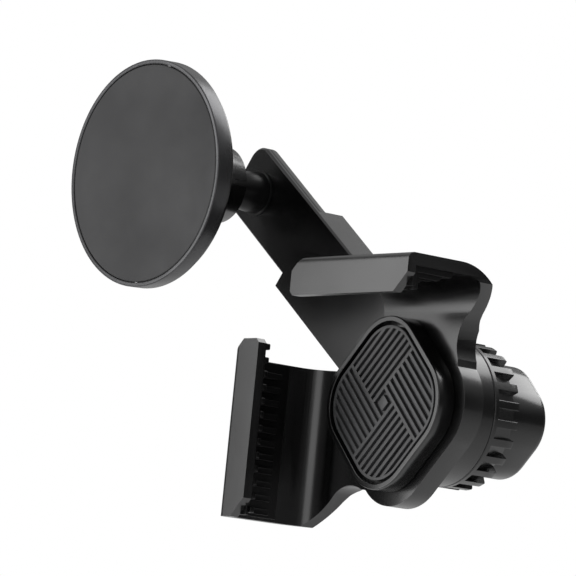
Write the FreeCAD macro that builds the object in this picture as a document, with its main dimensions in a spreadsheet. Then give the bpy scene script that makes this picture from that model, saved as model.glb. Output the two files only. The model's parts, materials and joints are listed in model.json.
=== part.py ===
import FreeCAD, Part
import math
import os
import re

import Sketcher

# Phone mount that clamps on the corner of a car's centre screen.
# Frame, in millimetres: the origin is the centre of the clamp pad's front face, with the pad
# drawn back. X points right along the screen, Y points away from the driver, Z points up.
# The main axis of the clamp, on which the pad, the knob and the arm's hub lie, is the Y axis.

doc = FreeCAD.newDocument("car_phone_mount")
sheet = doc.addObject("Spreadsheet::Sheet", "Sizes")

SIZES = {
    # plate and claws
    "plate_front": 5.2, "plate_rear": 11.2, "plate_half": 21.3, "plate_corner": 13.1,
    "neck_half": 24.0, "claw_out": 32.8, "claw_wall": 3.0, "claw_front": -21.1,
    "claw_back_end": 30.5, "claw_top_end": 8.5, "lip_thick": 2.5, "lip_width": 9.4,
    "lip_top_end": 13.2, "lip_bevel": 3.4, "lip_tip_bevel": 4.6, "bend_outer": 14.5,
    "bend_level": -4.6, "bend_stop": 16.0, "bend_inner": 7.8, "notch_out": 11.0,
    "notch_along": 20.7, "notch_arc": 9.3, "notch_arc_out": 20.9, "notch_arc_along": 21.9,
    "notch_slope": 1.1, "edge_round": 1.8, "rim_round": 0.6,
    # rubber liners in the claws
    "liner_thick": 1.4, "liner_deep": 12.0, "liner_lip_thick": 1.0, "liner_lip_tip": 25.0,
    "liner_start": -29.8, "liner_wall_stop": 8.2, "liner_lip_stop": 12.5, "rib_count": 13,
    "rib_pitch": 3.33, "rib_first": -29.15, "rib_wide": 1.5, "rib_proud": 1.1,
    "rib_tip": 24.3, "rib_end": -9.6,
    # pad that presses on the back of the screen
    "pad_half": 18.7, "pad_corner": 12.5, "tray_wall": 1.4, "tray_floor": 2.4,
    "grip_gap": 0.9, "grip_low": 0.35, "stem_size": 5.0, "stem_key": 7.0, "key_end": 17.8,
    "stem_end": 38.9,
    # sleeve behind the plate, on which the arm's hub turns
    "sleeve_outer": 13.0, "sleeve_inner": 10.5, "sleeve_end": 19.3, "fit_gap": 0.06,
    "sleeve_screw_ring": 11.75, "screw_shank": 0.9, "screw_head": 1.7,
    "retainer_end": 21.0, "retainer_hole": 7.1, "retainer_outer": 16.3,
    # knob
    "knob_outer": 18.2, "knob_inner": 15.5, "knob_start": 21.2, "knob_end": 28.6,
    "knob_lip": 20.6, "knob_lip_inner": 16.8,
    "knob_web": 1.8, "rib_depth": 1.3, "window_start": 0.7, "window_count": 24,
    "window_wide": 2.7, "insert_shaft": 7.0, "insert_flange": 9.5, "insert_start": 17.3,
    "insert_flange_thick": 1.3, "insert_end": 24.6, "washer_thick": 0.5,
    # rear cap
    "cap_half": 12.9, "cap_corner": 10.0, "cap_start": 29.15, "cap_end": 42.0,
    "cap_wall": 1.8, "cap_boss": 7.4, "cap_boss_start": 33.0, "cap_round": 2.2,
    # arm
    "arm_rise": 36.75, "arm_front": 11.5, "arm_rear": 20.4, "arm_up": 12.3,
    "arm_low": 11.05, "hub_outer": 18.2, "hub_floor": 19.0, "hub_inner": 16.6,
    "arm_step": 68.6, "arm_tip": 101.3, "tongue_low": 7.3,
    "tongue_skin": 1.2, "tongue_gap": 0.25, "tongue_rear": 15.2, "tip_round": 5.0,
    "arm_bevel": 0.5, "stud_station": 91.7, "stud_offset": 1.9,
    # ball stud
    "ball_size": 6.5, "ball_centre": -7.0, "stud_foot": 5.5, "stud_waist": 3.2,
    "stud_middle": 4.2, "stud_middle_y": 3.5, "stud_ring": 6.0, "stud_ring_thick": 0.7,
    "stud_spigot": 3.0, "stud_spigot_end": 12.7, "stud_screw_head": 3.4,
    # socket
    "layer_gap": 0.2, "layer_thick": 0.9, "inner_mouth": 54.0, "inner_back": 125.0,
    "outer_mouth": 60.0, "outer_back": 120.0, "hub_rear": 9.8, "hub_front": 14.0,
    "head_nod": 2.8, "head_turn": 3.5,
    "hub_mouth": 8.6, "slit_wide": 1.2, "slit_depth": 5.0, "slit_count": 4,
    # magnetic head
    "head_front": -26.5, "rim_outer": 29.0, "rim_wall": 1.1, "rim_rear": -22.0,
    "face_thick": 1.1, "face_low": 0.15, "face_gap": 0.15,
    "carrier_rear": -22.3, "carrier_size": 27.7, "magnet_inner": 22.2, "magnet_outer": 26.4,
    "magnet_count": 16, "magnet_span": 20.5, "magnet_deep": 2.2, "steel_thick": 0.6,
    "shell_size": 27.8, "shell_rear": -20.0, "plug_front": -21.7, "plug_size": 8.8,
    "head_screw_ring": 18.0,
}
for row, (alias, number) in enumerate(SIZES.items(), start=1):
    sheet.set("A%d" % row, alias)
    sheet.set("B%d" % row, str(number))
    sheet.setAlias("B%d" % row, alias)
doc.recompute()

PLANE_ROLES = {"XY": "XY_Plane", "XZ": "XZ_Plane", "YZ": "YZ_Plane"}
parts = []


def sized(text):
    """An expression on the sheet's cells, from one written with their bare names."""
    return re.sub(r"[a-z]\w*", lambda word: "Sizes." + word.group()
                  if word.group() in SIZES else word.group(), text)


def number(text):
    """The value of an expression, in millimetres or degrees."""
    value = sheet.evalExpression(sized(text))
    return float(getattr(value, "Value", value))


def bind(thing, prop, text):
    thing.setExpression(prop, sized(text))


# ---------------------------------------------------------------- sketches and features

def arc_between(start, end, radius):
    """Arc under half a turn from start to end: anticlockwise when the radius is positive."""
    chord = end - start
    side = FreeCAD.Vector(-chord.y, chord.x, 0).normalize()
    rise = math.sqrt(max(radius ** 2 - chord.Length ** 2 / 4, 0))
    centre = (start + end) * 0.5 + side * rise * (1 if radius > 0 else -1)
    first, last = (start, end) if radius > 0 else (end, start)
    angles = [math.atan2(p.y - centre.y, p.x - centre.x) for p in (first, last)]
    return Part.ArcOfCircle(Part.Circle(centre, FreeCAD.Vector(0, 0, 1), abs(radius)), *angles)


def draw(sketch, steps):
    """Closed outline. A step is (x, y), or (x, y, radius) where an arc leads to the next one."""
    points = [FreeCAD.Vector(number(step[0]), number(step[1]), 0) for step in steps]
    starts, ends = [], []
    for index, step in enumerate(steps):
        start, end = points[index], points[(index + 1) % len(points)]
        if len(step) == 3:
            radius = number(step[2])
            edge = sketch.addGeometry(arc_between(start, end, radius))
            size = sketch.addConstraint(Sketcher.Constraint("Radius", edge, abs(radius)))
            bind(sketch, "Constraints[%d]" % size, "abs(%s)" % step[2])
            starts.append((edge, 1 if radius > 0 else 2))
            ends.append((edge, 2 if radius > 0 else 1))
        else:
            edge = sketch.addGeometry(Part.LineSegment(start, end))
            starts.append((edge, 1))
            ends.append((edge, 2))
    for index, step in enumerate(steps):
        edge, corner = starts[index]
        sketch.addConstraint(Sketcher.Constraint("Coincident", *ends[index - 1], edge, corner))
        for kind, text, value in (("DistanceX", step[0], points[index].x),
                                  ("DistanceY", step[1], points[index].y)):
            held = sketch.addConstraint(Sketcher.Constraint(kind, -1, 1, edge, corner, value))
            bind(sketch, "Constraints[%d]" % held, text)


def draw_circles(sketch, circles):
    """Circles given as (x, y, radius)."""
    for x, y, radius in circles:
        centre = FreeCAD.Vector(number(x), number(y), 0)
        circle = Part.Circle(centre, FreeCAD.Vector(0, 0, 1), number(radius))
        edge = sketch.addGeometry(circle)
        size = sketch.addConstraint(Sketcher.Constraint("Radius", edge, number(radius)))
        bind(sketch, "Constraints[%d]" % size, radius)
        for kind, text, value in (("DistanceX", x, centre.x), ("DistanceY", y, centre.y)):
            held = sketch.addConstraint(Sketcher.Constraint(kind, -1, 1, edge, 3, value))
            bind(sketch, "Constraints[%d]" % held, text)


def sketch_on(body, plane, level, steps=(), circles=()):
    """Sketch parallel to one of the body's origin planes, at a level along the plane's normal."""
    sketch = body.newObject("Sketcher::SketchObject", body.Label + "_sketch")
    planes = [f for f in body.Origin.OriginFeatures if f.Role == PLANE_ROLES[plane]]
    sketch.AttachmentSupport = (planes[0], [""])
    sketch.MapMode = "FlatFace"
    bind(sketch, "AttachmentOffset.Base.z", "-(%s)" % level if plane == "XZ" else level)
    if steps:
        draw(sketch, steps)
    if circles:
        draw_circles(sketch, circles)
    return sketch


def grow(body, kind, plane, low, high, steps=(), circles=()):
    """Pad or Pocket between two levels, low to high along the plane's own world axis."""
    sketch = sketch_on(body, plane, low, steps, circles)
    before = body.Shape.Volume if body.Tip else 0
    feature = body.newObject("PartDesign::" + kind, body.Label + "_" + kind.lower())
    feature.Profile = sketch
    bind(feature, "Length", "%s - (%s)" % (high, low))
    feature.Reversed = (plane == "XZ") == (kind == "Pad")
    doc.recompute()
    if abs(body.Shape.Volume - before) < 1e-3:
        raise RuntimeError("%s: a %s changed nothing" % (body.Label, kind))
    return feature


def soften(body, kind, size, wanted):
    """Fillet or Chamfer on the edges that a test picks."""
    tip = body.Tip
    names = ["Edge%d" % (n + 1) for n, edge in enumerate(tip.Shape.Edges) if wanted(edge)]
    if not names:
        raise RuntimeError("%s: no edge to soften" % body.Label)
    feature = body.newObject("PartDesign::" + kind, body.Label + "_" + kind.lower())
    feature.Base = (tip, names)
    bind(feature, "Radius" if kind == "Fillet" else "Size", size)
    doc.recompute()
    return feature


def new_body(label):
    body = doc.addObject("PartDesign::Body", label)
    body.Label = label
    parts.append(body)
    return body


def place(part, x="0", y="0", z="0"):
    for axis, text in zip("xyz", (x, y, z)):
        if text != "0":
            bind(part, "Placement.Base." + axis, text)


def turned(label, profile, x="0", z="0"):
    """Body turned about the Y direction: the profile's points are (radius, y)."""
    body = new_body(label)
    sketch = sketch_on(body, "XY", "0", profile)
    turn = body.newObject("PartDesign::Revolution", label + "_turn")
    turn.Profile = sketch
    turn.ReferenceAxis = (sketch, ["V_Axis"])
    turn.Angle = 360
    place(body, x=x, z=z)
    doc.recompute()
    return body


def ring(label, inner, outer, low, high, x="0", z="0"):
    return turned(label, [(inner, low), (outer, low), (outer, high), (inner, high)], x, z)


def lozenge(half, corner):
    """Square with rounded corners, standing on one corner; half is from centre to a side."""
    reach = "(%s)*sqrt(2)" % half
    cut = "(%s)*sqrt(0.5)" % corner
    steps = []
    for x_sign, z_sign in ((1, 0), (0, 1), (-1, 0), (0, -1)):
        for turn in (-1, 1):
            if x_sign:
                point = ("%d*(%s - %s)" % (x_sign, reach, cut), "%d*%s" % (turn * x_sign, cut))
            else:
                point = ("%d*%s" % (-turn * z_sign, cut), "%d*(%s - %s)" % (z_sign, reach, cut))
            steps.append(point + (corner,) if turn < 0 else point)
    return steps


def joined(kind, label, pieces, **extra):
    """Part boolean or compound of earlier objects."""
    result = doc.addObject(kind, label)
    result.Label = label
    if kind == "Part::Compound":
        result.Links = pieces
    elif kind == "Part::Cut":
        result.Base, result.Tool = pieces
    else:
        result.Shapes = pieces
    doc.recompute()
    return result


def rod(label, radius, low, high, x="0", z="0"):
    """Cylinder along Y."""
    cylinder = doc.addObject("Part::Cylinder", label)
    cylinder.Placement = FreeCAD.Placement(
        FreeCAD.Vector(), FreeCAD.Rotation(FreeCAD.Vector(1, 0, 0), -90))
    bind(cylinder, "Radius", radius)
    bind(cylinder, "Height", "%s - (%s)" % (high, low))
    place(cylinder, x, low, z)
    return cylinder


def screws(label, spots, low, high, turn_over=False):
    """Countersunk screws along Y, one solid each; the head is at low, or at high if turned over."""
    bodies = []
    for index, (x, z) in enumerate(spots):
        shank = rod("%s_shank_%d" % (label, index), "screw_shank", low, high, x, z)
        head = doc.addObject("Part::Cone", "%s_head_%d" % (label, index))
        head.Placement = shank.Placement
        bind(head, "Radius1", "screw_shank" if turn_over else "screw_head")
        bind(head, "Radius2", "screw_head" if turn_over else "screw_shank")
        bind(head, "Height", "screw_head - screw_shank")
        place(head, x, "%s - (screw_head - screw_shank)" % high if turn_over else low, z)
        bodies.append(joined("Part::MultiFuse", "%s_%d" % (label, index), [shank, head]))
    group = joined("Part::Compound", label, bodies)
    parts.append(group)
    return group


def around(radius, count, first=45.0):
    """Spots on a circle about the main axis, as (x, z) expressions."""
    return [("%s*cos(%s)" % (radius, first + 360.0 * n / count),
             "%s*sin(%s)" % (radius, first + 360.0 * n / count)) for n in range(count)]


def on_level(y):
    level = number(y)
    return lambda edge: all(abs(v.Y - level) < 1e-4 for v in edge.Vertexes)


# ---------------------------------------------------------------- clamp: plate and claws

def claw_section():
    """Section of a claw, as (distance out from the main axis, y)."""
    inner_start = "claw_out - claw_wall - bend_inner"
    bend_level = "plate_front - bend_inner"
    return [
        ("claw_out - bend_outer - 4", "plate_front"),
        (inner_start, "plate_front", "-bend_inner"),
        ("claw_out - claw_wall", bend_level),
        ("claw_out - claw_wall", "claw_front + lip_thick"),
        ("claw_out - claw_wall", "claw_front"),
        ("claw_out", "claw_front"),
        ("claw_out", "bend_level", "bend_outer"),
        ("claw_out - bend_outer + bend_outer*sin(bend_stop*1deg)",
         "bend_level + bend_outer*cos(bend_stop*1deg)"),
        ("claw_out - bend_outer + 0.3", "plate_rear"),
        ("claw_out - bend_outer - 4", "plate_rear"),
    ]


def make_clamp_body():
    """Plate with two claws at right angles, mirror images in the plane x = -z."""
    body = new_body("clamp_body")
    out = "claw_out - bend_outer"
    corner_x = "(plate_half - plate_corner)*sqrt(2) + plate_corner*sqrt(0.5)"
    corner_z = "plate_corner*sqrt(0.5)"
    neck = "neck_half*sqrt(2)"
    grow(body, "Pad", "XZ", "plate_front", "plate_rear", [
        ("-(%s)" % out, "-claw_back_end + 4"),
        ("-%s" % corner_z, "-(%s)" % corner_x, "plate_corner"),
        (corner_z, "-(%s)" % corner_x),
        (corner_x, "-%s" % corner_z, "plate_corner"),
        (corner_x, corner_z),
        ("claw_back_end - 4", out),
        ("-(%s - (%s))" % (neck, out), out),
        ("-(%s)" % out, "%s - (%s)" % (neck, out)),
    ])
    mirrored = [("-(%s)" % step[0],) + tuple(step[1:2]) + tuple("-(%s)" % r for r in step[2:])
                for step in claw_section()]
    grow(body, "Pad", "XY", "-claw_back_end", "claw_top_end", mirrored)
    swapped = [(step[1], step[0]) + tuple("-(%s)" % r for r in step[2:])
               for step in claw_section()]
    grow(body, "Pad", "YZ", "-claw_top_end", "claw_back_end", swapped)
    lip_in = "claw_out - lip_width"
    lip_end = "claw_front + lip_thick"
    grow(body, "Pad", "XZ", "claw_front", lip_end, [
        ("-claw_out", "-claw_back_end"), ("-(%s) - lip_tip_bevel" % lip_in, "-claw_back_end"),
        ("-(%s)" % lip_in, "-claw_back_end + lip_tip_bevel"),
        ("-(%s)" % lip_in, "lip_top_end - 1"), ("-(%s) - 1" % lip_in, "lip_top_end"),
        ("-claw_out + lip_bevel", "lip_top_end"), ("-claw_out", "lip_top_end - lip_bevel")])
    grow(body, "Pad", "XZ", "claw_front", lip_end, [
        ("-lip_top_end", lip_in + " + 1"), ("-lip_top_end + 1", lip_in),
        ("claw_back_end - lip_tip_bevel", lip_in), ("claw_back_end", lip_in + " + lip_tip_bevel"),
        ("claw_back_end", "claw_out"), ("-lip_top_end + lip_bevel", "claw_out"),
        ("-lip_top_end", "claw_out - lip_bevel")])
    far = "claw_out + 2"
    below = "plate_corner*sqrt(0.5) + 0.1"
    notch = [("notch_along + 0.15", below), ("notch_along", "notch_out", "-notch_arc"),
             ("notch_arc_along", "notch_arc_out"),
             ("notch_arc_along + (%s - notch_arc_out)*notch_slope" % far, far),
             ("claw_back_end + 9", far), ("claw_back_end + 9", below)]
    grow(body, "Pocket", "XZ", "claw_front + lip_thick + 8", "plate_rear", notch)
    grow(body, "Pocket", "XZ", "claw_front + lip_thick + 8", "plate_rear", [
        ("-(%s)" % step[1], "-(%s)" % step[0]) + (("notch_arc",) if len(step) == 3 else ())
        for step in notch])
    key = "stem_key/2 + 0.1"
    grow(body, "Pocket", "XZ", "plate_front", "plate_rear", [
        ("-(%s)" % key, "-(%s)" % key), (key, "-(%s)" % key), (key, key), ("-(%s)" % key, key)])
    grow(body, "Pocket", "XZ", "plate_front", "plate_rear",
         circles=[(x, z, "screw_shank + 0.05") for x, z in around("sleeve_screw_ring", 4)])
    grow(body, "Pocket", "XZ", "plate_front", "plate_front + 1.2",
         circles=[(x, z, "screw_head + 0.05") for x, z in around("sleeve_screw_ring", 4)])

    def lip_corner(edge):
        """The long outer edges between a lip's front face and the claw's outer wall."""
        level, out_at = number("claw_front"), number("claw_out")
        points = [v.Point for v in edge.Vertexes]
        return edge.Length > 25 and all(abs(p.y - level) < 1e-4 for p in points) and (
            all(abs(p.x + out_at) < 1e-4 for p in points)
            or all(abs(p.z - out_at) < 1e-4 for p in points))

    soften(body, "Fillet", "edge_round", lip_corner)
    return body


def make_liner(label, on_left):
    """L-shaped rubber liner with raised ribs across it, evenly spaced along the claw."""
    body = new_body(label)
    plane = "XY" if on_left else "YZ"
    wall, face = "claw_out - claw_wall", "claw_front + lip_thick"

    def extrude(low, high, points):
        if on_left:
            grow(body, "Pad", plane, low, high, [("-(%s)" % out, y) for out, y in points])
        else:
            grow(body, "Pad", plane, "-(%s)" % high, "-(%s)" % low,
                 [(y, out) for out, y in points])

    lip_face, wall_face = face + " + liner_lip_thick", wall + " - liner_thick"
    extrude("liner_start", "liner_wall_stop", [
        (wall, face), (wall, face + " + liner_deep"), (wall_face, face + " + liner_deep"),
        (wall_face, lip_face), ("liner_lip_tip", lip_face), ("liner_lip_tip", face)])
    extrude("liner_wall_stop - 0.5", "liner_lip_stop", [
        (wall, face), (wall, lip_face), ("liner_lip_tip", lip_face), ("liner_lip_tip", face)])
    lip_top, wall_top = lip_face + " + rib_proud", wall_face + " - rib_proud"
    for index in range(int(SIZES["rib_count"])):
        low = "rib_first + %d*rib_pitch" % index
        past_wall = number(low + " + rib_wide") > number("liner_wall_stop")
        if past_wall:
            outline = [(wall, lip_face + " - 0.2"), (wall, lip_top)]
        else:
            outline = [(wall_face + " + 0.2", lip_face + " - 0.2"),
                       (wall_face + " + 0.2", "rib_end + 0.6"), (wall_top, "rib_end - 0.2"),
                       (wall_top, lip_top)]
        extrude(low, low + " + rib_wide",
                outline + [("rib_tip", lip_top), ("rib_tip", lip_face + " - 0.2")])
    return body


def make_clamp_fittings():
    """Sleeve screwed behind the plate, the plate that keeps the arm and knob on, and washers."""
    sleeve = ring("rear_sleeve", "sleeve_inner", "sleeve_outer", "plate_rear", "sleeve_end")
    for low, high in (("plate_rear", "plate_rear + 5"), ("sleeve_end - 2.4", "sleeve_end")):
        grow(sleeve, "Pocket", "XZ", low, high,
             circles=[(x, z, "screw_shank") for x, z in around("sleeve_screw_ring", 4)])
    screws("sleeve_screws", around("sleeve_screw_ring", 4), "plate_front + 0.4",
           "plate_rear + 4.8")
    retainer = turned("retainer_plate", [
        ("retainer_hole", "sleeve_end"), ("retainer_outer - 0.3", "sleeve_end"),
        ("retainer_outer", "sleeve_end + 0.3"), ("retainer_outer", "retainer_end - 0.3"),
        ("retainer_outer - 0.3", "retainer_end"), ("retainer_hole", "retainer_end")])
    grow(retainer, "Pocket", "XZ", "sleeve_end", "retainer_end",
         circles=[(x, z, "screw_shank + 0.05") for x, z in around("sleeve_screw_ring", 4)])
    grow(retainer, "Pocket", "XZ", "retainer_end - 0.9", "retainer_end",
         circles=[(x, z, "screw_head + 0.05") for x, z in around("sleeve_screw_ring", 4)])
    screws("retainer_screws", around("sleeve_screw_ring", 4), "sleeve_end - 2.3",
           "retainer_end - 0.05", turn_over=True)
    ring("friction_washer", "sleeve_outer + 0.3", "hub_outer - 1", "plate_rear",
         "arm_front - 0.05")
    ring("thrust_washer", "insert_shaft + 0.15", "insert_flange",
         "sleeve_end - washer_thick - 0.02", "sleeve_end - 0.02")


# ---------------------------------------------------------------- pad, stem and rear cap

def make_pad():
    """Pad tray with its grip, on a keyed and threaded stem that carries the rear cap."""
    tray = new_body("pad_tray")
    grow(tray, "Pad", "XZ", "0", "plate_front - 0.05", lozenge("pad_half", "pad_corner"))
    soften(tray, "Fillet", "rim_round", on_level("0"))
    inside = lozenge("pad_half - tray_wall", "pad_corner - tray_wall")
    grow(tray, "Pocket", "XZ", "0", "plate_front - tray_floor", inside)
    grow(tray, "Pocket", "XZ", "plate_front - tray_floor", "plate_front",
         circles=[("0", "0", "screw_shank + 0.6")])
    grip = new_body("pad_grip")
    grow(grip, "Pad", "XZ", "grip_low", "plate_front - tray_floor",
         lozenge("pad_half - tray_wall - grip_gap", "pad_corner - tray_wall - grip_gap"))
    soften(grip, "Fillet", "0.5", on_level("grip_low"))
    grow(grip, "Pocket", "XZ", "plate_front - tray_floor - 1.2", "plate_front - tray_floor",
         circles=[("0", "0", "3.2")])

    stem = new_body("pad_stem")
    key = "stem_key/2"
    grow(stem, "Pad", "XZ", "plate_front - 0.05", "key_end + 0.1", [
        ("-(%s)" % key, "-(%s)" % key), (key, "-(%s)" % key), (key, key), ("-(%s)" % key, key)])
    grow(stem, "Pad", "XZ", "key_end", "stem_end", circles=[("0", "0", "stem_size")])
    for low, high in (("plate_front - 0.05", "plate_front + 8"), ("stem_end - 8", "stem_end")):
        grow(stem, "Pocket", "XZ", low, high, circles=[("0", "0", "1.5")])
    for label, low, high, head_at_back in (
            ("pad_screw", "plate_front - tray_floor - 1.0", "plate_front + 7.5", False),
            ("cap_screw", "stem_end - 7.5", "cap_end - 0.1", True)):
        head = ("3.0", "1.0")
        profile = [("0", low), ("1.5", low), ("1.5", "%s - %s" % (high, head[1])),
                   (head[0], "%s - %s" % (high, head[1])), (head[0], high), ("0", high)]
        if not head_at_back:
            profile = [("0", low), (head[0], low), (head[0], "%s + %s" % (low, head[1])),
                       ("1.5", "%s + %s" % (low, head[1])), ("1.5", high), ("0", high)]
        turned(label, profile)

    cap = new_body("rear_cap")
    grow(cap, "Pad", "XZ", "cap_start", "cap_end", lozenge("cap_half", "cap_corner"))
    soften(cap, "Fillet", "cap_round", on_level("cap_end"))
    grow(cap, "Pocket", "XZ", "cap_start", "cap_end - cap_wall - 0.7",
         lozenge("cap_half - cap_wall", "cap_corner - cap_wall"))
    grow(cap, "Pad", "XZ", "cap_boss_start", "cap_end - cap_wall",
         circles=[("0", "0", "cap_boss")])
    grow(cap, "Pocket", "XZ", "cap_boss_start", "stem_end", circles=[("0", "0", "stem_size")])
    grow(cap, "Pocket", "XZ", "stem_end", "cap_end", circles=[("0", "0", "1.6")])
    grow(cap, "Pocket", "XZ", "cap_end - 1.2", "cap_end", circles=[("0", "0", "3.2")])


# ---------------------------------------------------------------- knob

def make_knob():
    """Ribbed ring with a web, pressed on a threaded insert that is held behind the sleeve."""
    knob = turned("knob_ring", [
        ("insert_shaft", "knob_start"), ("knob_lip_inner", "knob_start"),
        ("knob_lip_inner", "knob_lip"), ("knob_outer - 0.2", "knob_lip"),
        ("knob_outer", "knob_lip + 0.2"), ("knob_outer", "knob_end - 0.4"),
        ("knob_outer - 0.4", "knob_end"), ("knob_inner", "knob_end"),
        ("knob_inner", "knob_start + knob_web"), ("insert_shaft", "knob_start + knob_web")])
    half = "window_wide/2"
    window = grow(knob, "Pocket", "XZ", "knob_start + window_start", "knob_end", [
        ("knob_outer - rib_depth", "-(%s)" % half), ("knob_outer + 1", "-(%s)" % half),
        ("knob_outer + 1", half), ("knob_outer - rib_depth", half)])
    pattern = knob.newObject("PartDesign::PolarPattern", "knob_windows")
    pattern.Originals = [window]
    pattern.Axis = (window.Profile[0], ["N_Axis"])
    pattern.Angle = 360
    bind(pattern, "Occurrences", "window_count")
    knob.Tip = pattern
    doc.recompute()
    turned("knob_insert", [
        ("stem_size + fit_gap", "insert_start"), ("insert_flange", "insert_start"),
        ("insert_flange", "insert_start + insert_flange_thick"),
        ("insert_shaft", "insert_start + insert_flange_thick"),
        ("insert_shaft", "insert_end"), ("stem_size + fit_gap", "insert_end")])


# ---------------------------------------------------------------- arm and ball stud

STUD_X = "-stud_station*cos(arm_rise) + stud_offset*sin(arm_rise)"
STUD_Z = "stud_station*sin(arm_rise) + stud_offset*cos(arm_rise)"


def tilt_to_arm(part):
    """Turn a part modelled along -X so that it rises along the arm."""
    part.Placement = FreeCAD.Placement(
        FreeCAD.Vector(), FreeCAD.Rotation(FreeCAD.Vector(0, 1, 0), SIZES["arm_rise"]))
    bind(part, "Placement.Rotation.Angle", "arm_rise*1deg")


def make_arm():
    """Hub, thick bar and thin tongue in one moulding, and the tongue's rear cover."""
    arm = new_body("arm")
    grow(arm, "Pad", "XZ", "arm_front", "arm_rear", circles=[("0", "0", "hub_outer")])
    grow(arm, "Pad", "XZ", "arm_front", "arm_rear", [
        ("0", "-arm_low"), ("0", "arm_up"), ("-arm_step", "arm_up"), ("-arm_step", "-arm_low")])
    tongue = [("-arm_step + 1", "arm_up"), ("-arm_tip + tip_round", "arm_up", "tip_round"),
              ("-arm_tip", "arm_up - tip_round"), ("-arm_tip", "-tongue_low + tip_round",
                                                     "tip_round"),
              ("-arm_tip + tip_round", "-tongue_low"), ("-arm_step + 1", "-tongue_low")]
    grow(arm, "Pad", "XZ", "arm_front", "arm_front + tongue_skin", tongue)
    grow(arm, "Pocket", "XZ", "arm_front", "arm_rear",
         circles=[("0", "0", "sleeve_outer + fit_gap")])
    grow(arm, "Pocket", "XZ", "hub_floor", "arm_rear", circles=[("0", "0", "hub_inner")])
    grow(arm, "Pocket", "XZ", "arm_front", "arm_front + tongue_skin",
         circles=[("-stud_station", "stud_offset", "stud_spigot")])
    tip = number("-arm_step + 1")

    def front_outline(edge):
        far = max(v.X for v in edge.Vertexes) < -number("hub_outer")
        centre = edge.BoundBox.Center
        round_hole = abs(centre.x - number("-stud_station")) < 5
        return on_level("arm_front")(edge) and far and not (round_hole and edge.Closed)

    soften(arm, "Chamfer", "arm_bevel", front_outline)
    cover = new_body("arm_end_cover")
    behind = [("-arm_step - 0.1", "arm_up")] + tongue[1:5] + [("-arm_step - 0.1",
                                                                "-tongue_low")]
    grow(cover, "Pad", "XZ", "arm_front + tongue_skin + tongue_gap", "tongue_rear", behind)
    grow(cover, "Pad", "XZ", "arm_front + tongue_skin", "tongue_rear", [
        ("-arm_step - 0.1", "arm_up - 0.6"),
        ("-arm_tip + tip_round", "arm_up - 0.6", "tip_round - 0.6"),
        ("-arm_tip + 0.6", "arm_up - tip_round"),
        ("-arm_tip + 0.6", "-tongue_low + tip_round", "tip_round - 0.6"),
        ("-arm_tip + tip_round", "-tongue_low + 0.6"), ("-arm_step - 0.1", "-tongue_low + 0.6")])
    spot = ("-stud_station", "stud_offset")
    grow(cover, "Pocket", "XZ", "arm_front + tongue_skin", "tongue_rear - 0.8",
         circles=[spot + ("stud_screw_head + 0.4",)])

    def rear_outline(edge):
        return on_level("tongue_rear")(edge) and min(v.X for v in edge.Vertexes) < tip - 2
    soften(cover, "Chamfer", "arm_bevel", rear_outline)
    for part in (arm, cover):
        tilt_to_arm(part)

    stud = turned("ball_stud", [
        ("0", "ball_centre - ball_size", "ball_size"),
        ("stud_waist", "ball_centre + sqrt(ball_size^2 - stud_waist^2)", "-18"),
        ("stud_middle", "stud_middle_y", "-16"), ("stud_foot", "arm_front - stud_ring_thick"),
        ("stud_ring", "arm_front - stud_ring_thick + 0.15"), ("stud_ring", "arm_front"),
        ("stud_spigot", "arm_front"), ("stud_spigot", "stud_spigot_end"),
        ("0.8", "stud_spigot_end"), ("0.8", "arm_front - 6"), ("0", "arm_front - 6.5")],
        STUD_X, STUD_Z)
    turned("stud_screw", [
        ("0", "arm_front - 5.9"), ("0.8", "arm_front - 5.5"), ("0.8", "stud_spigot_end"),
        ("stud_screw_head", "stud_spigot_end"), ("stud_screw_head", "stud_spigot_end + 1.3"),
        ("0", "stud_spigot_end + 1.3")], STUD_X, STUD_Z)
    ring("arm_washer", "sleeve_outer + 0.3", "hub_inner - 0.4", "hub_floor",
         "sleeve_end - 0.05")
    return stud


# ---------------------------------------------------------------- ball socket

def move_to_ball(part, nod, turn):
    """Carry a part modelled about the main axis to the ball stud's axis, tilted at the ball."""
    bind(part, "Placement", "placement(vector(%s; ball_centre; %s); rotation(vector(%s; 0; %s);"
         " sqrt((%s)^2 + (%s)^2))) * placement(vector(0; -ball_centre; 0); rotation(0; 0; 0))"
         % (STUD_X, STUD_Z, nod, turn, nod, turn))


def make_cup(label, inner, mouth, back, nod, turn):
    """Spherical band about the ball's centre; mouth and back are angles from the rear."""
    outer = "(%s + layer_thick)" % inner

    def at(radius, angle):
        return ("%s*sin(%s)" % (radius, angle), "ball_centre + %s*cos(%s)" % (radius, angle))

    cup = turned(label, [at(inner, back) + ("(%s)" % inner,), at(inner, mouth),
                         at(outer, mouth) + ("-%s" % outer,), at(outer, back)])
    move_to_ball(cup, nod, turn)


def make_socket():
    first = "(ball_size + layer_gap)"
    second = "(ball_size + 2*layer_gap + layer_thick)"
    make_cup("socket_cup_inner", first, "inner_mouth", "inner_back", "head_nod", "0")
    make_cup("socket_cup_outer", second, "outer_mouth", "outer_back", "head_nod", "head_turn")


# ---------------------------------------------------------------- magnetic head

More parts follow.
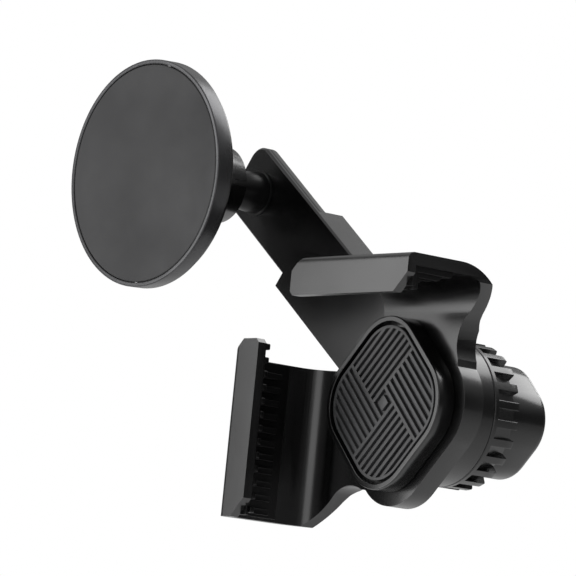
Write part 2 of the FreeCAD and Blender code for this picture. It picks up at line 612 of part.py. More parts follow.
def make_head_shell():
    """Back of the head with the socket's hub, whose mouth is slit so that it can flex."""
    seat = "(ball_size + 3*layer_gap + 2*layer_thick)"
    lip = "(outer_mouth + 2)"
    shell = turned("head_back_shell", [
        ("plug_size", "rim_rear + 0.4"), ("shell_size", "rim_rear + 0.4"),
        ("shell_size", "shell_rear - 1.2", "1.2"), ("shell_size - 1.2", "shell_rear"),
        ("hub_front + 2", "shell_rear", "-2"), ("hub_front", "shell_rear + 2"),
        ("hub_rear", "-0.5", "0.5"), ("hub_rear - 0.5", "0"), ("hub_mouth", "0"),
        ("%s*sin(%s)" % (seat, lip), "ball_centre + %s*cos(%s)" % (seat, lip), "-" + seat),
        (seat, "ball_centre"), (seat, "plug_front + 8"), ("plug_size", "plug_front + 7.8")])
    half = "slit_wide/2"
    slit = grow(shell, "Pocket", "XZ", "-slit_depth", "1", [
        ("5", "-(%s)" % half), ("hub_front", "-(%s)" % half), ("hub_front", half), ("5", half)])
    pattern = shell.newObject("PartDesign::PolarPattern", "hub_slits")
    pattern.Originals = [slit]
    pattern.Axis = (slit.Profile[0], ["N_Axis"])
    pattern.Angle = 360
    bind(pattern, "Occurrences", "slit_count")
    shell.Tip = pattern
    doc.recompute()
    grow(shell, "Pocket", "XZ", "rim_rear + 0.4", "rim_rear + 1.6",
         circles=[(x, z, "screw_shank") for x, z in around("head_screw_ring", 4)])
    turned("socket_plug", [
        ("0", "plug_front"), ("plug_size - 0.05", "plug_front"),
        ("plug_size - 0.05", "ball_centre - 5.2"), (seat + "*sin(52)", "ball_centre - 5.2"),
        (seat + "*sin(52)", "ball_centre - %s*cos(52)" % seat, "-" + seat),
        ("0", "ball_centre - " + seat)])


def make_head_front():
    """Rim, magnets in their carrier, steel backing and the soft face, from the rim inwards."""
    inner = "rim_outer - rim_wall"
    turned("head_rim", [
        (inner, "head_front + 0.3"), (inner + " + 0.3", "head_front"),
        ("rim_outer - 0.7", "head_front", "0.7"), ("rim_outer", "head_front + 0.7"),
        ("rim_outer", "rim_rear - 0.4", "0.4"), ("rim_outer - 0.4", "rim_rear"),
        (inner, "rim_rear")])
    face_front = "head_front + face_low"
    turned("face_pad", [
        ("0", face_front), (inner + " - face_gap - 0.4", face_front, "0.4"),
        (inner + " - face_gap", face_front + " + 0.4"),
        (inner + " - face_gap", face_front + " + face_thick"),
        ("0", face_front + " + face_thick")])
    carrier_front = face_front + " + face_thick"
    carrier = ring("magnet_carrier", "5", "carrier_size", carrier_front, "carrier_rear")
    grow(carrier, "Pocket", "XZ", carrier_front, carrier_front + " + magnet_deep",
         circles=[("0", "0", "magnet_outer + 0.1"), ("0", "0", "magnet_inner - 0.1")])
    grow(carrier, "Pocket", "XZ", carrier_front, "carrier_rear",
         circles=[(x, z, "screw_shank + 0.05") for x, z in around("head_screw_ring", 4)])
    grow(carrier, "Pocket", "XZ", carrier_front, carrier_front + " + 1",
         circles=[(x, z, "screw_head + 0.05") for x, z in around("head_screw_ring", 4)])
    magnets = []
    for index in range(int(SIZES["magnet_count"])):
        magnet = doc.addObject("Part::Feature", "magnet_%d" % index)
        start = 360.0 * index / SIZES["magnet_count"]
        depth = number("magnet_deep - 0.05")
        level = FreeCAD.Vector(0, number(carrier_front) + 0.02, 0)
        back = FreeCAD.Vector(0, 1, 0)
        outer = Part.makeCylinder(SIZES["magnet_outer"], depth, level, back,
                                  SIZES["magnet_span"])
        inner_cut = Part.makeCylinder(SIZES["magnet_inner"], depth, level, back, 360)
        magnet.Shape = outer.cut(inner_cut)
        magnet.Placement = FreeCAD.Placement(
            FreeCAD.Vector(), FreeCAD.Rotation(FreeCAD.Vector(0, 1, 0), start))
        magnets.append(magnet)
    parts.append(joined("Part::Compound", "magnet_ring", magnets))
    plate = ring("steel_plate", "5", "carrier_size", "carrier_rear",
                 "carrier_rear + steel_thick")
    grow(plate, "Pocket", "XZ", "carrier_rear", "carrier_rear + steel_thick",
         circles=[(x, z, "screw_shank + 0.05") for x, z in around("head_screw_ring", 4)])
    screws("head_screws", around("head_screw_ring", 4), carrier_front + " + 0.1",
           "rim_rear + 1.5")


# ---------------------------------------------------------------- build, check and write

make_clamp_body()
make_liner("left_claw_liner", True)
make_liner("top_claw_liner", False)
make_clamp_fittings()
make_pad()
make_knob()
make_arm()
make_socket()
first_of_head = len(parts)
make_head_shell()
make_head_front()
for part in parts[first_of_head:]:
    move_to_ball(part, "head_nod", "head_turn")
doc.recompute()

for thing in doc.Objects:
    if "Invalid" in thing.State or "Error" in thing.State:
        raise RuntimeError("%s failed: %s" % (thing.Label, thing.State))
os.makedirs("parts", exist_ok=True)
for part in parts:
    if part.Shape.isNull() or not part.Shape.isValid():
        raise RuntimeError("%s has no valid shape" % part.Label)
for part in parts:
    part.Shape.exportStep("parts/%s.step" % part.Label)
    print("%-20s %9.1f mm3  %d solids" % (part.Label, part.Shape.Volume, len(part.Shape.Solids)))
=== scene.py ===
import json
import math

import bmesh
import bpy
from mathutils import Matrix, Vector


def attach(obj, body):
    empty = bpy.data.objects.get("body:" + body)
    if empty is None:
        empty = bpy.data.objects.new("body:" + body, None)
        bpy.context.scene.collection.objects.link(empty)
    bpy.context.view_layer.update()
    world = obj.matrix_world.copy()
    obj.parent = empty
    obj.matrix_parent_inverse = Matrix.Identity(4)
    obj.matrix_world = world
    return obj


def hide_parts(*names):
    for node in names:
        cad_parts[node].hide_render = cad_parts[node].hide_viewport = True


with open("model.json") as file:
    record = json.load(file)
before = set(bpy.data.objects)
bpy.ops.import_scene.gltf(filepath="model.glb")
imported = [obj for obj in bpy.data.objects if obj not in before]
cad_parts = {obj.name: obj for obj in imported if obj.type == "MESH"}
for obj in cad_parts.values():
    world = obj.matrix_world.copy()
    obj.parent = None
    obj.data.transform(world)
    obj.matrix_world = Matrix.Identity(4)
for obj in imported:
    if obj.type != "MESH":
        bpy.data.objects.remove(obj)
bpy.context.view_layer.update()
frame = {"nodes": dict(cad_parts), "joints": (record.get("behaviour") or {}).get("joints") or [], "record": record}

MM = 0.001
FULL_TURN = 2 * math.pi

# Frame: the clamp's main axis is Y, the pad's front face is y = 0, +Y is away from the driver.
# Sizes below are in millimetres and repeat the CAD model's, so each piece sits on its node.
joints = {joint["name"]: joint for joint in frame["joints"]}
ball = Vector(joints["head_spin"]["pos_m"])
head_axis = Vector(joints["head_spin"]["axis"])
BALL_Y = ball.y / MM

# Where pieces modelled on the main axis go: onto the stud's axis, or onto the tilted head's.
on_stud = Matrix.Translation((ball.x, 0, ball.z))
on_head = (Matrix.Translation(ball)
           @ Vector((0, 1, 0)).rotation_difference(head_axis).to_matrix().to_4x4()
           @ Matrix.Translation((0, -ball.y, 0)))


# ---------------------------------------------------------------- materials

CLOUD_SCALE = 60.0          # size of the uneven tone and gloss, as noise per metre
GRAIN_DEPTH = 0.00008       # metres
GLOSS_CHANGE = 0.12         # share of the roughness


def make_material(name, colour, roughness, metallic=0.0, spread=0.25, grain=900.0, bump=0.12,
                  wear=0.0, shine=0.5):
    """Moulded or finished surface: uneven tone and gloss, a fine grain, and worn edges.

    spread is the share by which the tone varies, grain the fineness of the relief and bump its
    strength, wear how much the edges lighten, and shine the specular level.
    """
    material = bpy.data.materials.new(name)
    material.use_nodes = True
    nodes, links = material.node_tree.nodes, material.node_tree.links
    shader = nodes["Principled BSDF"]
    shader.inputs["Metallic"].default_value = metallic
    shader.inputs["Specular IOR Level"].default_value = shine
    place = nodes.new("ShaderNodeTexCoord")

    cloud = nodes.new("ShaderNodeTexNoise")
    cloud.inputs["Scale"].default_value = CLOUD_SCALE
    cloud.inputs["Detail"].default_value = 5.0
    links.new(place.outputs["Object"], cloud.inputs["Vector"])
    fine = nodes.new("ShaderNodeTexNoise")
    fine.inputs["Scale"].default_value = grain
    fine.inputs["Detail"].default_value = 3.0
    links.new(place.outputs["Object"], fine.inputs["Vector"])

    tone = nodes.new("ShaderNodeValToRGB")
    dark = [c * (1 - spread) for c in colour]
    light = [c * (1 + spread) for c in colour]
    tone.color_ramp.elements[0].position = 0.35
    tone.color_ramp.elements[0].color = (*dark, 1)
    tone.color_ramp.elements[1].position = 0.65
    tone.color_ramp.elements[1].color = (*light, 1)
    links.new(cloud.outputs["Fac"], tone.inputs["Fac"])
    shown = tone.outputs["Color"]
    if wear:
        geometry = nodes.new("ShaderNodeNewGeometry")
        edges = nodes.new("ShaderNodeValToRGB")
        edges.color_ramp.elements[0].position = 0.52
        edges.color_ramp.elements[0].color = (0, 0, 0, 1)
        edges.color_ramp.elements[1].position = 0.62
        edges.color_ramp.elements[1].color = (wear, wear, wear, 1)
        links.new(geometry.outputs["Pointiness"], edges.inputs["Fac"])
        rub = nodes.new("ShaderNodeMix")
        rub.data_type = "RGBA"
        rub.inputs["B"].default_value = (*[min(1, c * 3 + 0.03) for c in colour], 1)
        links.new(edges.outputs["Color"], rub.inputs["Factor"])
        links.new(shown, rub.inputs["A"])
        shown = rub.outputs["Result"]
    links.new(shown, shader.inputs["Base Color"])

    gloss = nodes.new("ShaderNodeMapRange")
    gloss.inputs["From Min"].default_value = 0.3
    gloss.inputs["From Max"].default_value = 0.7
    gloss.inputs["To Min"].default_value = roughness * (1 - GLOSS_CHANGE)
    gloss.inputs["To Max"].default_value = min(1.0, roughness * (1 + GLOSS_CHANGE))
    links.new(cloud.outputs["Fac"], gloss.inputs["Value"])
    links.new(gloss.outputs["Result"], shader.inputs["Roughness"])

    relief = nodes.new("ShaderNodeBump")
    relief.inputs["Strength"].default_value = bump
    relief.inputs["Distance"].default_value = GRAIN_DEPTH
    links.new(fine.outputs["Fac"], relief.inputs["Height"])
    links.new(relief.outputs["Normal"], shader.inputs["Normal"])
    return material


BLACK = (0.0022, 0.0022, 0.0023)
MATERIALS = {
    "body_plastic": make_material("satin_abs", BLACK, 0.22, bump=0.04, wear=0.2),
    "cap_plastic": make_material("cap_abs", BLACK, 0.2, bump=0.04, wear=0.2),
    "knob_plastic": make_material("knob_nylon", BLACK, 0.25, bump=0.06, wear=0.2),
    "arm_plastic": make_material("arm_nylon", BLACK, 0.22, bump=0.05, wear=0.2),
    "head_plastic": make_material("head_nylon", BLACK, 0.22, bump=0.05, wear=0.2),
    "inner_plastic": make_material("acetal", (0.05, 0.05, 0.052), 0.4),
    "liner_rubber": make_material("liner_rubber", (0.0015, 0.0015, 0.0016), 0.4, grain=2200,
                                  bump=0.1, shine=0.2),
    "grip_silicone": make_material("grip_silicone", (0.024, 0.024, 0.025), 0.5, grain=2200,
                                   bump=0.1),
    "face_rubber": make_material("face_silicone", (0.022, 0.022, 0.0228), 0.8, grain=2600,
                                 bump=0.2, spread=0.03),
    "rim_metal": make_material("rim_anodised", (0.05, 0.05, 0.052), 0.28, metallic=0.6,
                               bump=0.05),
    "stud_metal": make_material("stud_coating", (0.002, 0.002, 0.0021), 0.3, bump=0.04,
                                shine=0.15),
    "stem_steel": make_material("zinc_plate", (0.45, 0.45, 0.46), 0.35, metallic=1.0),
    "screw_steel": make_material("black_oxide", (0.06, 0.06, 0.062), 0.38, metallic=0.9),
    "insert_brass": make_material("brass", (0.72, 0.52, 0.22), 0.3, metallic=1.0),
    "magnet_metal": make_material("nickel", (0.6, 0.6, 0.6), 0.25, metallic=1.0),
}
slot_of = {part["node"]: part["material_slot"] for part in frame["record"]["subparts"]}
for node_name, node in frame["nodes"].items():
    node.data.materials.clear()
    node.data.materials.append(MATERIALS[slot_of[node_name]])
body_of_node = {node: body for body, members in frame["record"]["behaviour"]["bodies"].items()
                for node in members}


# ---------------------------------------------------------------- meshes

LARGE_ROUND, SMALL_ROUND = 240, 64      # steps round a large and a small turned piece


def place_mesh(name, built, matrix=None):
    """New object from a mesh made in millimetres, moved by the matrix, which is in metres."""
    bmesh.ops.scale(built, vec=(MM, MM, MM), verts=built.verts)
    if matrix is not None:
        bmesh.ops.transform(built, matrix=matrix, verts=built.verts)
    bmesh.ops.recalc_face_normals(built, faces=built.faces)
    mesh = bpy.data.meshes.new(name)
    built.to_mesh(mesh)
    built.free()
    holder = bpy.data.objects.new(name, mesh)
    bpy.context.scene.collection.objects.link(holder)
    return holder


def finish_piece(name, node, built, matrix=None):
    """Put a mesh made in millimetres in the scene, in place of a CAD node."""
    piece = place_mesh(name, built, matrix)
    piece.data.materials.append(MATERIALS[slot_of[node]])
    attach(piece, body_of_node[node])
    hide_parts(node)
    return piece


def add_to(target, solid):
    """Add one mesh's faces to another and free the first."""
    bmesh.ops.recalc_face_normals(solid, faces=solid.faces)
    scratch = bpy.data.meshes.new("scratch")
    solid.to_mesh(scratch)
    solid.free()
    target.from_mesh(scratch)
    bpy.data.meshes.remove(scratch)


def smooth(piece, angle=35):
    """Smooth shading that leaves edges sharper than this angle, in degrees, sharp."""
    for polygon in piece.data.polygons:
        polygon.use_smooth = True
    piece.data.set_sharp_from_angle(angle=math.radians(angle))
    return piece


def rounded(points, steps=5):
    """Outline whose corners (x, y, radius) are turned into arcs; plain (x, y) stays sharp."""
    result = []
    count = len(points)
    for index, point in enumerate(points):
        here = Vector(point[:2])
        if len(point) < 3 or not point[2]:
            result.append(here)
            continue
        back = (Vector(points[index - 1][:2]) - here).normalized()
        ahead = (Vector(points[(index + 1) % count][:2]) - here).normalized()
        half = back.angle(ahead) / 2
        reach = point[2] / math.tan(half)
        centre = here + (back + ahead).normalized() * point[2] / math.sin(half)
        start, end = here + back * reach - centre, here + ahead * reach - centre
        sweep = math.atan2(start.x * end.y - start.y * end.x, start.dot(end))
        for step in range(steps + 1):
            turn = sweep * step / steps
            result.append(centre + Vector((start.x * math.cos(turn) - start.y * math.sin(turn),
                                           start.x * math.sin(turn) + start.y * math.cos(turn))))
    return result


def skin(rings, ends=False):
    """Faces between rings of points; the last ring joins the first unless the ends are capped."""
    built = bmesh.new()
    loops = [[built.verts.new(point) for point in ring] for ring in rings]
    pairs = list(zip(loops, loops[1:]))
    if not ends:
        pairs.append((loops[-1], loops[0]))
    for ring, after in pairs:
        for index in range(len(ring)):
            following = (index + 1) % len(ring)
            built.faces.new((ring[index], ring[following], after[following], after[index]))
    if ends:
        built.faces.new(loops[0])
        built.faces.new(loops[-1])
    return built


def lathe(profile, angles=180, carve=None):
    """Closed (radius, y) profile turned about Y.

    angles is a count of even steps, or a list of turns. carve gives the depth cut off the
    radius at (turn, profile index).
    """
    stations = ([FULL_TURN * n / angles for n in range(angles)]
                if isinstance(angles, int) else angles)
    rings = []
    for turn in stations:
        ring = []
        for index, (radius, y) in enumerate(profile):
            reach = max(radius - (carve(turn, index) if carve else 0), 0)
            ring.append((reach * math.cos(turn), y, reach * math.sin(turn)))
        rings.append(ring)
    built = skin(rings)
    bmesh.ops.remove_doubles(built, verts=built.verts, dist=1e-4)
    return built


def lozenge(half, corner, steps=16):
    """Points (x, z) of a rounded square standing on one corner."""
    points = []
    for quarter in range(4):
        middle = quarter * math.pi / 2
        spot = (half - corner) * math.sqrt(2)
        for step in range(steps + 1):
            turn = middle + math.pi / 4 * (2 * step / steps - 1)
            points.append((spot * math.cos(middle) + corner * math.cos(turn),
                           spot * math.sin(middle) + corner * math.sin(turn)))
    return points


def lozenge_solid(profile, half, corner):
    """Rounded-square solid through (inset from the side, y) points, flat at both ends."""
    return skin([[(x, y, z) for x, z in lozenge(half - inset, max(corner - inset, 0.05))]
                 for inset, y in profile], ends=True)


def cut(piece, tools, matrix=None):
    """Take solids, given in millimetres, out of a piece."""
    for tool in tools:
        cutter = place_mesh("tool", tool, matrix)
        step = piece.modifiers.new("cut", "BOOLEAN")
        step.operation = "DIFFERENCE"
        step.solver = "EXACT"
        step.object = cutter
        bpy.context.view_layer.update()
        shaped = piece.evaluated_get(bpy.context.evaluated_depsgraph_get())
        result = bpy.data.meshes.new_from_object(shaped)
        piece.modifiers.remove(step)
        piece.data = result
        bpy.data.objects.remove(cutter)
    return piece


def block(low, high):
    """Box between two corners, as a cutting tool."""
    tool = bmesh.new()
    bmesh.ops.create_cube(tool, size=1)
    size = Vector(high) - Vector(low)
    bmesh.ops.scale(tool, vec=size, verts=tool.verts)
    bmesh.ops.translate(tool, vec=(Vector(low) + Vector(high)) / 2, verts=tool.verts)
    return tool


def round_edges(piece, width, segments=3, angle=30):
    """Rounds the sharp edges over, as a mould leaves them."""
    bevel = piece.modifiers.new("edge_rounding", "BEVEL")
    bevel.width = width * MM
    bevel.segments = segments
    bevel.limit_method = "ANGLE"
    bevel.angle_limit = math.radians(angle)
    bevel.use_clamp_overlap = True
    bevel.harden_normals = False
    return smooth(piece)


def from_cad(name, node, width=0.35, angle=28, wide=None, wide_width=1.0):
    """The CAD node's own shape with its edges rounded, those that wide() picks more than others."""
    built = bmesh.new()
    built.from_mesh(frame["nodes"][node].data)
    bmesh.ops.scale(built, vec=(1 / MM, 1 / MM, 1 / MM), verts=built.verts)
    bmesh.ops.remove_doubles(built, verts=built.verts, dist=1e-3)
    bmesh.ops.dissolve_limit(built, angle_limit=math.radians(1.0), verts=built.verts,
                             edges=built.edges)
    if wide:
        chosen = [edge for edge in built.edges if wide(edge)]
        bmesh.ops.bevel(built, geom=chosen, offset=wide_width, segments=6, profile=0.5,
                        affect="EDGES", clamp_overlap=True)
    return round_edges(finish_piece(name, node, built), width, angle=angle)


# ---------------------------------------------------------------- clamp

def plate_outline(edge):
    """Edges of the plate's front face round its free corner, between the claws' notches."""
    level, notch, inside, near = 5.2, 11.2, 20.0, 0.01
    return all(abs(v.co.y - level) < near and math.hypot(v.co.x, v.co.z) > inside
               and v.co.x > -notch and v.co.z < notch for v in edge.verts)


def make_clamp():
    from_cad("clamp_shell", "clamp_body", 0.4, wide=plate_outline, wide_width=1.2)
    for name, node, on_left in (("left_liner", "left_claw_liner", True),
                                ("top_liner", "top_claw_liner", False)):
        make_claw_liner(name, node, on_left)
    inner, outer, front, rear, edge = 7.1, 16.3, 19.3, 21.0, 0.2
    retainer = lathe(rounded([(inner, front), (outer, front, edge), (outer, rear, edge),
                              (inner, rear)]), LARGE_ROUND)
    smooth(finish_piece("retainer_disc", "retainer_plate", retainer))


def make_claw_liner(name, node, on_left):
    """L-shaped rubber liner with rounded ribs across it, on the claw's wall and on its lip."""
    wall, lip = 29.8, -18.6                                     # where it lies on the claw
    wall_face, lip_face = wall - 1.4, lip + 1.0                 # the sheet's open faces
    wall_top, lip_top = wall_face - 1.1, lip_face + 1.1         # the ribs' tops
    wall_end, lip_end = lip + 12, 25.0
    rib_end, rib_bend, rib_tip = -9.0, -9.8, 24.3
    start, wall_stop, lip_stop = -29.8, 8.2, 12.5               # along the claw
    rib_count, rib_first, rib_pitch, rib_wide, rib_soft = 13, -29.15, 3.33, 1.5, 0.2
    bury = 0.2                                                  # ribs and sheets run together

    def extrude(target, outline, low, high, soft=0.0):
        """Solid from an (out, y) outline between two levels along the claw."""
        rings = []
        for inset, level in ((soft, low), (0, low + soft), (0, high - soft), (soft, high)):
            centre = sum((Vector(p) for p in outline), Vector((0, 0))) / len(outline)
            ring = []
            for point in outline:
                inward = (centre - Vector(point)).normalized() * inset
                out, y = Vector(point) + inward
                ring.append((-out, y, level) if on_left else (-level, y, out))
            rings.append(ring)
        if not soft:
            rings = rings[1:3]
        add_to(target, skin(rings, ends=True))

    built = bmesh.new()
    lip_edge = [(lip_end, lip_face, 0.4), (lip_end, lip)]
    extrude(built, rounded([(wall, lip), (wall, wall_end), (wall_face, wall_end, 0.4),
                            (wall_face, lip_face, 0.3), *lip_edge], 3), start, wall_stop)
    extrude(built, rounded([(wall, lip), (wall, lip_face), *lip_edge], 3),
            wall_stop - bury, lip_stop)
    for index in range(rib_count):
        low = rib_first + index * rib_pitch
        if low + rib_wide > wall_stop:
            outline = [(wall, lip_face - bury), (wall, lip_top)]
        else:
            outline = [(wall_face + bury, lip_face - bury), (wall_face + bury, rib_end),
                       (wall_top, rib_bend, 0.3), (wall_top, lip_top, 0.3)]
        outline += [(rib_tip, lip_top, 0.4), (rib_tip, lip_face - bury)]
        extrude(built, rounded(outline, 3), low, low + rib_wide, soft=rib_soft)
    round_edges(finish_piece(name, node, built), 0.12, segments=2)


# ---------------------------------------------------------------- pad and rear cap

PAD_HALF, PAD_CORNER = 18.7, 12.5
GRIP_INSET, GRIP_FRONT, GRIP_REAR = 2.3, 0.35, 2.75
GRIP_SOFT = 0.1             # radius of every rib's edges
GRIP_BORDER = 0.75          # plain band round the grooves
GRIP_RELIEF = 0.4           # half of the ribs' height, without their edges
GROOVE_PITCH, GROOVE_WIDE, GROOVE_COUNT = 1.9, 1.0, 8


def clip(outline, keep):
    """Part of a closed outline where keep(point) is not negative; keep is linear."""
    result = []
    for here, there in zip(outline, outline[1:] + outline[:1]):
        first, second = keep(here), keep(there)
        if first >= 0:
            result.append(here)
        if (first > 0 > second) or (first < 0 < second):
            part = first / (first - second)
            result.append(tuple(a + (b - a) * part for a, b in zip(here, there)))
    return result


def along_way(point, way):
    """How far a point lies along a direction."""
    return point[0] * way[0] + point[1] * way[1]


def grip_grooves():
    """Pinwheel of straight grooves in four quadrants round a square one, as (x, z) outlines."""
    inset = GRIP_INSET + GRIP_BORDER - GRIP_SOFT
    border = lozenge(PAD_HALF - inset, PAD_CORNER - inset, 10)
    side = GROOVE_WIDE / 2 + GRIP_SOFT
    middle = GROOVE_PITCH + side
    outlines = []
    for quarter in range(4):
        turn = math.pi / 4 + quarter * math.pi / 2
        along = (math.cos(turn), math.sin(turn))
        across = (-along[1], along[0])
        for number in range(2, GROOVE_COUNT + 1):
            centre = GROOVE_PITCH * number
            piece = clip(border, lambda p: along_way(p, across) - (centre - side))
            piece = clip(piece, lambda p: (centre + side) - along_way(p, across))
            piece = clip(piece, lambda p: along_way(p, along) + middle)
            if len(piece) > 2:
                outlines.append(piece)
    return outlines


def square(half):
    """Corners (x, z) of a square standing on one corner."""
    return [(half * math.sqrt(2) * math.cos(k * math.pi / 2),
             half * math.sqrt(2) * math.sin(k * math.pi / 2)) for k in range(4)]


def make_grip():
    """Silicone face: a ribbed plate with soft edges, on a plain base."""
    half, corner = PAD_HALF - GRIP_INSET, PAD_CORNER - GRIP_INSET
    soft = GRIP_SOFT
    curve = bpy.data.curves.new("grip_outline", "CURVE")
    curve.dimensions = "2D"
    curve.fill_mode = "BOTH"
    outlines = [lozenge(half - soft, corner - soft), *grip_grooves(),
                square(GROOVE_PITCH + GROOVE_WIDE / 2 + soft),
                square(GROOVE_PITCH - GROOVE_WIDE / 2 - soft)]
    for outline in outlines:
        spline = curve.splines.new("POLY")
        spline.points.add(len(outline) - 1)
        for point, (x, z) in zip(spline.points, outline):
            point.co = (x, z, 0, 1)
        spline.use_cyclic_u = True
    curve.extrude = GRIP_RELIEF
    curve.bevel_depth = soft
    curve.bevel_resolution = 2
    holder = bpy.data.objects.new("grip_outline", curve)
    bpy.context.scene.collection.objects.link(holder)
    bpy.context.view_layer.update()
    ribbed = bpy.data.meshes.new_from_object(
        holder.evaluated_get(bpy.context.evaluated_depsgraph_get()))
    bpy.data.objects.remove(holder)
    built = bmesh.new()
    built.from_mesh(ribbed)
    deep = GRIP_RELIEF + soft
    bmesh.ops.transform(built, matrix=Matrix.Translation((0, GRIP_FRONT + deep, 0))
                        @ Matrix.Rotation(math.pi / 2, 4, "X"), verts=built.verts)
    bmesh.ops.remove_doubles(built, verts=built.verts, dist=1e-4)
    base_inset = 0.1
    base = lozenge_solid([(base_inset, GRIP_REAR), (base_inset, GRIP_FRONT + 2 * deep - 0.1)],
                         half, corner)
    add_to(built, base)
    smooth(finish_piece("grip_face", "pad_grip", built), 40)


def make_tray():
    """Shallow tray whose rim is flat in front, with a soft edge outside and inside."""
    outer_edge = [(0, 0.5), (0, 0.4), (0.05, 0.19), (0.17, 0.05), (0.34, 0.0), (0.4, 0.0)]
    inner_edge = [(1.2, 0.0), (1.26, 0.0), (1.36, 0.05), (1.4, 0.15), (1.4, 0.3)]
    back_edge, floor = [(0.25, 5.15), (0, 4.9)], (1.4, 2.8)
    tray = lozenge_solid([*back_edge, *outer_edge, *inner_edge, floor], PAD_HALF, PAD_CORNER)
    smooth(finish_piece("pad_shell", "pad_tray", tray), 50)


def make_rear_cap():
    """Hollow cap with a rounded rear edge and a recess for its screw."""
    half, corner, soft, end = 12.9, 10.0, 2.2, 42.0
    recess_floor, recess_round, past_end = end - 1.2, 3.2, end + 2
    turns = [math.radians(90 * n / 8) for n in range(9)]
    rear_edge = [(soft * (1 - math.cos(t)), end - soft * (1 - math.sin(t))) for t in turns]
    hollow = [(3.4, 39.3), (2.0, 39.0), (1.8, 38.5), (1.8, 29.35)]
    front_edge = [(1.6, 29.15), (0.3, 29.15), (0.09, 29.24), (0, 29.45)]
    cap = finish_piece("cap_shell", "rear_cap",
                       lozenge_solid([*hollow, *front_edge, *rear_edge], half, corner))
    cut(cap, [lathe([(0, recess_floor), (recess_round, recess_floor), (recess_round, past_end),
                     (0, past_end)], SMALL_ROUND)])
    round_edges(cap, 0.15, 2, 50)


def make_cap_screw():
    """Screw with a cross-shaped slot in its head."""
    shank, head, tip, seat, top = 1.5, 3.0, 31.4, 40.9, 41.9
    slot_floor, slot_reach, slot_half, past_top = 41.3, 1.8, 0.3, 44
    screw = lathe(rounded([(0, tip), (shank, tip), (shank, seat), (head, seat, 0.1),
                           (head, top, 0.35), (0, top)]), SMALL_ROUND)
    piece = finish_piece("cap_screw_head", "cap_screw", screw)
    cut(piece, [block((-x, slot_floor, -z), (x, past_top, z))
                for x, z in ((slot_reach, slot_half), (slot_half, slot_reach))])
    round_edges(piece, 0.05, 2, 40)


def make_pad():
    make_tray()
    make_grip()
    make_rear_cap()
    make_cap_screw()


# ---------------------------------------------------------------- knob

def make_knob():
    """Ring with windows between its ribs: a window's flat floor slopes in towards the rear."""
    count, wide, radius = 24, 2.7, 18.2
    front, rear = 21.9, 28.6
    step = FULL_TURN / count
    half = wide / 2 / radius
    break_low, break_top = 0.05 / radius, 0.14 / radius
    turns = []
    for window in range(count):
        for offset in (half, half * 0.5, half + break_low, half + break_top, step / 2 - 0.025):
            turns += [window * step - offset, window * step + offset]
        turns.append(window * step)
    turns.sort()
    profile = [(7.0, 21.2), (16.8, 21.2), (16.8, 20.72), (16.92, 20.6), (radius - 0.45, 20.6),
               (radius - 0.18, 20.68), (radius, 20.95), (radius, 21.6),
               (radius, 21.72), (radius, front), (radius, front + 0.03), (radius, 24.0),
               (radius, 26.3), (radius, 28.2), (radius - 0.1, 28.48), (radius - 0.35, rear),
               (15.7, rear), (15.5, 28.4), (15.5, 23.0), (7.0, 23.0)]

    def carve(turn, index):
        near = abs((turn + step / 2) % step - step / 2)
        reach, y = profile[index]
        if y <= front or reach < 17 or near > half + break_low * 1.5:
            return 0
        if near > half + break_low * 0.5:
            return 0.06
        floor = radius - 0.5 - 1.8 * (y - front) / (rear - front)
        return max(reach - floor * math.cos(half * 0.5) / math.cos(near), 0)

    built = lathe(profile, turns, carve)
    smooth(finish_piece("knob_grip", "knob_ring", built), 32)


# ---------------------------------------------------------------- arm, stud and head

def make_arm():
    """Bar and end cover as in the CAD, and the stud: ball, neck, flared foot, flange and spigot."""
    from_cad("arm_bar", "arm", 0.18, angle=30)
    from_cad("arm_lid", "arm_end_cover", 0.18, angle=30)
    size, waist, ball_steps = 6.5, 3.2, 40
    turns = [math.pi * n / ball_steps for n in range(34)]
    neck = BALL_Y + math.sqrt(size ** 2 - waist ** 2)
    globe = [(size * math.sin(t), BALL_Y - size * math.cos(t)) for t in turns]
    globe = [(radius, y) for radius, y in globe if y < neck - 0.3 or radius > 4]
    stem = [(waist + 0.12, neck - 0.1), (waist, neck + 0.5), (waist, 0.6)]
    foot = [(waist + 0.15, 1.6), (waist + 0.5, 2.7), (4.2, 3.9), (4.75, 5.4), (5.15, 7.2),
            (5.4, 9.2), (5.5, 10.5), (5.52, 10.8)]
    flange = [(5.62, 10.86), (5.95, 10.9), (6.0, 10.96), (6.0, 11.5)]
    spigot = [(3.0, 11.5), (3.0, 12.7), (0, 12.7)]
    profile = [*globe, *stem, *foot, *flange, *spigot]
    smooth(finish_piece("ball_stem", "ball_stud", lathe(profile, 96), on_stud), 50)


def make_disc():
    """Metal rim and the silicone face inside it."""
    front, rear, inner, outer = -26.5, -22.0, 27.9, 29.0
    rim = lathe(rounded([(inner, front + 0.2), (inner + 0.2, front, 0.12), (outer, front, 0.4),
                         (outer, rear, 0.35), (inner, rear)]), LARGE_ROUND)
    smooth(finish_piece("rim_ring", "head_rim", rim, on_head))
    face_front, face_rear, face_round = -26.35, -25.25, 27.72
    face = lathe(rounded([(0, face_front), (face_round, face_front, 0.35),
                          (face_round, face_rear), (0, face_rear)]), LARGE_ROUND)
    smooth(finish_piece("face_disc", "face_pad", face, on_head))


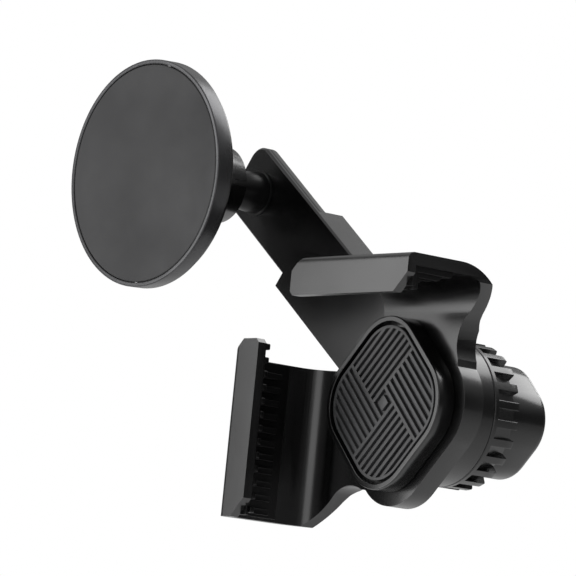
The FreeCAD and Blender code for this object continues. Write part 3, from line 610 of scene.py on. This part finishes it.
def make_head_shell():
    """Back of the disc and its tapered hub, hollowed round the ball and slit in four places."""
    seat, mouth, lip = 9.0, math.radians(62), 0.0
    turns = [mouth + (math.pi / 2 - mouth) * n / 8 for n in range(9)]
    bowl = [(seat * math.sin(t), BALL_Y + seat * math.cos(t)) for t in turns]
    disc_front, disc_back, disc_round = -21.6, -20.0, 27.8
    disc = [(8.8, disc_front), (disc_round, disc_front), (disc_round, disc_back, 1.1),
            (16.0, disc_back, 1.5)]
    hub = [(13.9, -18.0, 1.0), (9.8, lip, 0.5), (8.6, lip, 0.2)]
    shell = lathe(rounded([*disc, *hub]) + bowl + [(seat, -13.7), (8.8, -13.9)])
    piece = finish_piece("head_hub", "head_back_shell", shell, on_head)
    half, inside, outside, deep, past_lip = 0.6, 6, 13, lip - 5, lip + 2
    cut(piece, [block((inside, deep, -half), (outside, past_lip, half)),
                block((-outside, deep, -half), (-inside, past_lip, half)),
                block((-half, deep, inside), (half, past_lip, outside)),
                block((-half, deep, -outside), (half, past_lip, -inside))], on_head)
    round_edges(piece, 0.12, 2, 40)


def make_head():
    make_disc()
    make_head_shell()
    for name, node in (("cup_inner", "socket_cup_inner"), ("cup_outer", "socket_cup_outer")):
        from_cad(name, node, 0.1, 50)


make_clamp()
make_pad()
make_knob()
make_arm()
make_head()


# ---------------------------------------------------------------- stage, lights and camera

def make_floor():
    """Pale floor well below the mount."""
    side, level = 14, -0.30
    bpy.ops.mesh.primitive_plane_add(size=side, location=(0, 0, level))
    floor = bpy.context.object
    floor.name = "floor"
    paint = bpy.data.materials.new("pale_floor")
    paint.use_nodes = True
    shader = paint.node_tree.nodes["Principled BSDF"]
    shader.inputs["Base Color"].default_value = (0.88, 0.88, 0.88, 1)
    shader.inputs["Roughness"].default_value = 0.9
    floor.data.materials.append(paint)


def make_world():
    """White backdrop, and a dim room that is lighter above."""
    world = bpy.data.worlds.new("studio")
    bpy.context.scene.world = world
    world.use_nodes = True
    nodes, links = world.node_tree.nodes, world.node_tree.links
    seen = nodes["Background"]
    seen.inputs["Color"].default_value = (1, 1, 1, 1)
    room = nodes.new("ShaderNodeBackground")
    place = nodes.new("ShaderNodeTexCoord")
    split = nodes.new("ShaderNodeSeparateXYZ")
    height = nodes.new("ShaderNodeMapRange")
    height.interpolation_type = "SMOOTHSTEP"
    height.inputs["From Min"].default_value = 0.25
    height.inputs["From Max"].default_value = 0.85
    height.inputs["To Min"].default_value = 0.16
    height.inputs["To Max"].default_value = 1.0
    links.new(place.outputs["Generated"], split.inputs["Vector"])
    links.new(split.outputs["Z"], height.inputs["Value"])
    links.new(height.outputs["Result"], room.inputs["Strength"])
    path = nodes.new("ShaderNodeLightPath")
    mix = nodes.new("ShaderNodeMixShader")
    links.new(path.outputs["Is Camera Ray"], mix.inputs["Fac"])
    links.new(room.outputs["Background"], mix.inputs[1])
    links.new(seen.outputs["Background"], mix.inputs[2])
    links.new(mix.outputs["Shader"], nodes["World Output"].inputs["Surface"])


def make_softbox(name, direction, distance, size, brightness):
    """Area light facing the object from a direction; brightness 1 looks as white as the sky."""
    lamp = bpy.data.lights.new(name, "AREA")
    lamp.shape = "RECTANGLE"
    lamp.size, lamp.size_y = size
    lamp.energy = brightness * math.pi * size[0] * size[1]
    holder = bpy.data.objects.new(name, lamp)
    bpy.context.scene.collection.objects.link(holder)
    away = Vector(direction).normalized()
    holder.location = away * distance
    holder.rotation_euler = away.to_track_quat("Z", "Y").to_euler()


def make_camera():
    """Camera to the front right of the mount, a little below it and slightly rolled."""
    turn, rise, roll = math.radians(52.038), math.radians(-6.415), math.radians(-5.68)
    position = Vector((0.762116, -0.626636, -0.085468))         # metres
    film_width, focal_length = 36.0, 255.75625                  # millimetres
    back = Vector((math.sin(turn) * math.cos(rise), -math.cos(turn) * math.cos(rise),
                   math.sin(rise)))
    level_right = Vector((math.cos(turn), math.sin(turn), 0))
    level_up = back.cross(level_right)
    right = level_right * math.cos(roll) - level_up * math.sin(roll)
    up = level_up * math.cos(roll) + level_right * math.sin(roll)
    camera = bpy.data.cameras.new("camera")
    camera.sensor_width = film_width
    camera.lens = focal_length
    camera.clip_start = 0.01
    holder = bpy.data.objects.new("camera", camera)
    bpy.context.scene.collection.objects.link(holder)
    place = Matrix((right, up, back)).transposed().to_4x4()
    place.translation = position
    holder.matrix_world = place
    bpy.context.scene.camera = holder


make_floor()
make_world()
make_softbox("left_front", (-0.49, -0.86, 0.10), 0.40, (0.32, 0.5), 3.4)
make_softbox("right_front", (0.74, -0.66, 0.11), 1.3, (0.55, 0.9), 2.4)
make_softbox("top_back", (0.06, 0.62, 0.78), 1.0, (0.58, 0.6), 4.6)
make_softbox("back_left", (-0.38, 0.82, 0.43), 1.0, (0.3, 0.2), 4.0)
make_camera()
bpy.context.scene.view_settings.view_transform = "Standard"
